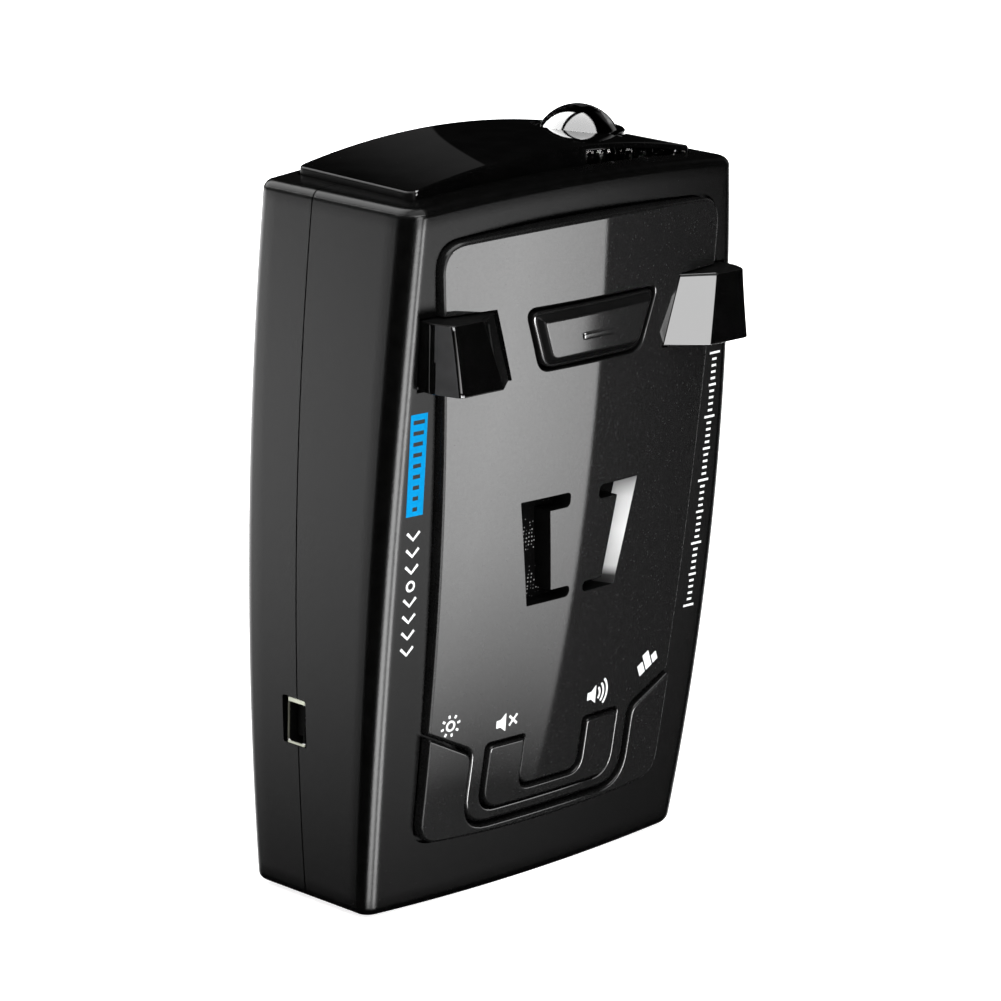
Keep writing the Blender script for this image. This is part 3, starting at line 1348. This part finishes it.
SPRING = metal("spring_steel", (0.45, 0.46, 0.48), 0.25, 0.4, 700, (1, 1, 6))
ZINC = metal("cast_zinc", (0.42, 0.42, 0.43), 0.42, 0.6, 1500, relief=0.00002)
BLACK = plain("moulded_black", (0.018, 0.018, 0.019), 0.45, 0.6)
RUBBER = plain("knurled_black", (0.014, 0.014, 0.014), 0.5, 0.66, 2400)
PAPER = plain("cone_paper", (0.03, 0.03, 0.032), 0.75, 0.9, 2600, 0.00004)
TERMINAL = plain("terminal_board", (0.36, 0.22, 0.09), 0.45, 0.6, 1200)
WIRE = plain("red_insulation", (0.45, 0.02, 0.015), 0.35, 0.5, 900)
DISPLAY = plain("display_face", (0.05, 0.03, 0.032), 0.2, 0.32, 700)
LABEL = plain("label_film", (0.03, 0.03, 0.033), 0.4, 0.52, 1900)
BOARD = circuit_board()
MESH = woven_mesh()
WHITE_INK = print_ink("white_print", (0.62, 0.63, 0.63))
BLUE_INK = print_ink("blue_print", (0.001, 0.18, 0.4), 0.01)
GREY_INK = print_ink("grey_print", (0.2, 0.2, 0.2))


# ---- the pieces in place ----
def belongs(obj, body, slot, *nodes):
    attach(obj, body)
    if nodes:
        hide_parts(*nodes)


front, rear = case_shells(SHELL)
belongs(front, "housing", "case_front", "front_shell")
belongs(rear, "housing", "case_rear", "rear_shell")
belongs(face_panel(PANEL), "housing", "panel", "face_panel")
outer_key, inner_key = keys(PANEL)
belongs(outer_key, "outer_key_rocker", "panel", "outer_key")
belongs(inner_key, "inner_key_rocker", "panel", "inner_key")
button, dash = release_button(BUTTON_PAINT)
belongs(button, "release_plunger", "panel", "release_button")
belongs(dash, "release_plunger", "panel")
for way, side in (("left", -1), ("right", 1)):
    belongs(rail_block(f"{way}_rail_skin", side, GLOSS), "housing", "gloss_black", f"{way}_rail_block")
belongs(roof_cap(GLOSS), "housing", "gloss_black", "roof_cap")
belongs(clear_window(PRISMS), "housing", "clear_lens", "laser_lens")
belongs(dome(BEAD), "housing", "clear_lens", "laser_lens")
belongs(speaker_mesh(MESH), "housing", "mesh", "speaker_mesh")
belongs(volume_wheel(RUBBER), "volume_knob", "wheel", "volume_wheel")
socket_parts, blade = power_socket(SOCKET, SLOT_WALL)
for socket_part in socket_parts:
    belongs(socket_part, "housing", "socket_steel", "power_socket_shell")
belongs(blade, "housing", "moulded_black", "power_socket_tongue")
for number, (x, z) in enumerate(BOSSES, 1):
    belongs(case_screw(number, x, z, STEEL), "housing", "screw_steel", f"case_screw_{number}")
belongs(rating_label(LABEL), "housing", "label", "rating_label")
belongs(display_window(WINDOW), "housing", "dark_window", "display_window")

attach(ink("key_symbols", key_symbols(), panel_face, WHITE_INK), "housing")
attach(ink("label_bars", label_bars(), label_face, GREY_INK, 1), "housing")
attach(ink("blue_bar", blue_bar(), shell_face, BLUE_INK), "housing")
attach(ink("left_marks", left_row(), shell_face, WHITE_INK), "housing")
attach(ink("right_marks", right_row(), shell_face, WHITE_INK), "housing")

INNER_FINISHES = (
    (BLACK, "release_carrier outer_switch_1 outer_switch_2 inner_switch_1 inner_switch_2"),
    (BLACK, "volume_control laser_sensor"),
    (BOARD, "main_board mixer_board sensor_board display_board"),
    (STEEL, "speaker_frame speaker_magnet"),
    (WIRE, "speaker_lead_left speaker_lead_right"),
    (PAPER, "speaker_cone"),
    (TERMINAL, "speaker_terminal"),
    (SPRING, "release_leaf"),
    (ZINC, "horn_antenna"),
    (TIN, "shield_can"),
    (DISPLAY, "display_module"),
)
for material, nodes in INNER_FINISHES:
    for node in nodes.split():
        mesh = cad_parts[node].data
        mesh.materials.clear()
        mesh.materials.append(material)


# ---- floor, light, camera ----
def pale_floor():
    """White as far as the view goes: a little glow makes up for the light falling off far away."""
    surface = Surface("pale_floor", (0.9, 0.9, 0.9), 0.9, Emission_Strength=0.8)
    surface.shader.inputs["Emission Color"].default_value = (1, 1, 1, 1)
    surface.color(surface.noise(3, 2), [(0.3, 0.88), (0.7, 0.92)])
    corners = [(x, y, -0.02) for x, y in ((-6000, -6000), (6000, -6000), (6000, 6000), (-6000, 6000))]
    floor = made("floor", corners, [(0, 1, 2, 3)], surface.material)
    floor.visible_glossy = False
    floor.visible_transmission = False


def area_light(name, place, target, width, power):
    """A square softbox that shines on the target and shows in no mirror."""
    data = bpy.data.lights.new(name, "AREA")
    data.shape = "SQUARE"
    data.size = width
    data.energy = power
    light = bpy.data.objects.new(name, data)
    bpy.context.scene.collection.objects.link(light)
    light.location = place
    light.rotation_euler = (Vector(target) - Vector(place)).to_track_quat("-Z", "Y").to_euler()
    light.visible_glossy = False
    light.visible_camera = False


def studio_world():
    """What shiny surfaces mirror: dark all round, with softboxes in front, overhead and behind."""
    world = bpy.data.worlds.new("studio")
    world.use_nodes = True
    tree = world.node_tree
    nodes, links = tree.nodes, tree.links
    coordinates = nodes.new("ShaderNodeTexCoord")
    split = nodes.new("ShaderNodeSeparateXYZ")
    links.new(coordinates.outputs["Generated"], split.inputs["Vector"])

    def maths(operation, *values):
        node = nodes.new("ShaderNodeMath")
        node.operation = operation
        for socket, value in zip(node.inputs, values):
            if isinstance(value, (int, float)):
                socket.default_value = value
            else:
                links.new(value, socket)
        return node.outputs[0]

    def rise(value, at, softness):
        """0 below, 1 above, smooth over twice the softness."""
        node = spread(tree, value, (at - softness, at + softness), (0, 1))
        node.interpolation_type = "SMOOTHSTEP"
        return node.outputs["Result"]

    def product(*values):
        result = values[0]
        for value in values[1:]:
            result = maths("MULTIPLY", result, value)
        return result

    def band(value, low, high, soft_low, soft_high):
        return product(rise(value, low, soft_low), maths("SUBTRACT", 1, rise(value, high, soft_high)))

    x, y, z = split.outputs
    # angle round the object from the -Y direction, positive towards +X, in radians
    bearing = maths("ARCTAN2", x, maths("MULTIPLY", y, -1))

    front_levels = color_ramp(tree, maths("DIVIDE", maths("ADD", z, 0.52), 0.37), [
        (0.0, 0.0), (0.04, 0.0), (0.108, 0.22), (0.165, 0.38), (0.216, 0.52), (0.308, 0.73),
        (0.365, 0.84), (0.486, 0.95), (0.6, 1.0), (0.88, 1.0), (1.0, 0.0)])
    front = product(
        band(maths("ADD", bearing, maths("MULTIPLY", z, 0.157)), 0.13, 0.816, 0.06, 0.003),
        front_levels,
        maths("MINIMUM", maths("SUBTRACT", 8.0, maths("MULTIPLY", bearing, 5.9)), 4.4),
    )
    straight_ahead = band(bearing, -0.1, 0.1, 0.06, 0.06)
    upright = product(
        band(bearing, -0.5, 0.37, 0.08, 0.05), band(z, -0.62, -0.1, 0.08, 0.05),
        maths("SUBTRACT", 28.0, maths("MULTIPLY", straight_ahead, 27.4)))
    front_left = product(band(bearing, -0.62, -0.08, 0.03, 0.05), band(z, 0.02, 0.4, 0.05, 0.05), 13.0)
    left_back = product(
        maths("SUBTRACT", 1, rise(bearing, -2.36, 0.03)), band(z, -0.33, 0.0, 0.15, 0.1),
        maths("ADD", 5.5, maths("MULTIPLY", rise(bearing, -2.8, -0.35), 1.5)))
    back_patch = product(
        band(maths("SUBTRACT", bearing, maths("MULTIPLY", z, 0.181)), 2.3248, 2.365, 0.0005, 0.04),
        band(z, 0.12, 0.5, 0.04, 0.1), 0.058)
    rear = product(rise(bearing, 1.75, 0.3), band(z, -0.5, -0.13, 0.12, 0.04), 4.0)
    right = product(band(bearing, 1.45, 1.85, 0.1, 0.1), band(z, 0.05, 0.5, 0.1, 0.2), 0.6)
    # overhead softboxes lie in a plane above the object
    lift = maths("MAXIMUM", z, 0.05)
    plane_x = maths("DIVIDE", x, lift)
    plane_y = maths("DIVIDE", y, lift)
    upwards = rise(z, 0.15, 0.05)
    overhead = product(band(plane_x, -1.0, 0.42, 0.06, 0.06), band(plane_y, -1.35, 0.2, 0.06, 0.04),
                       upwards, 14.0)
    behind = product(band(plane_x, -1.1, 0.22, 0.06, 0.06), band(plane_y, 0.36, 3.4, 0.04, 0.3),
                     upwards, 20.0)
    total = 0.002
    for part in (front, upright, front_left, left_back, back_patch, rear, right, overhead, behind):
        total = maths("ADD", total, part)
    links.new(total, nodes["Background"].inputs["Strength"])
    nodes["Background"].inputs["Color"].default_value = (1, 1, 1, 1)
    world.cycles_visibility.diffuse = False
    bpy.context.scene.world = world


def camera():
    """Where the picture was taken from, about 0.67 m away with a long lens."""
    data = bpy.data.cameras.new("camera")
    data.lens = 163.43
    data.sensor_width = 36
    data.clip_start = 0.05
    data.clip_end = 20
    view = bpy.data.objects.new("camera", data)
    bpy.context.scene.collection.objects.link(view)
    right = Vector((0.6994, -0.7144, 0.0229))
    up = Vector((0.1684, 0.1958, 0.9661))
    back = Vector((-0.6946, -0.6718, 0.2573))
    turn = Matrix((right, up, back)).transposed().to_4x4()
    view.matrix_world = Matrix.Translation((-0.4599, -0.44315, 0.2259)) @ turn
    bpy.context.scene.camera = view


pale_floor()
studio_world()
area_light("overhead", (-0.1, 0.0, 1.4), (0, 0, 0), 2.2, 62)
area_light("front_left", (-0.55, -1.1, 0.55), (0, 0, 0.05), 0.9, 14)
camera()
bpy.context.scene.view_settings.view_transform = "Standard"
bpy.context.scene.view_settings.look = "None"
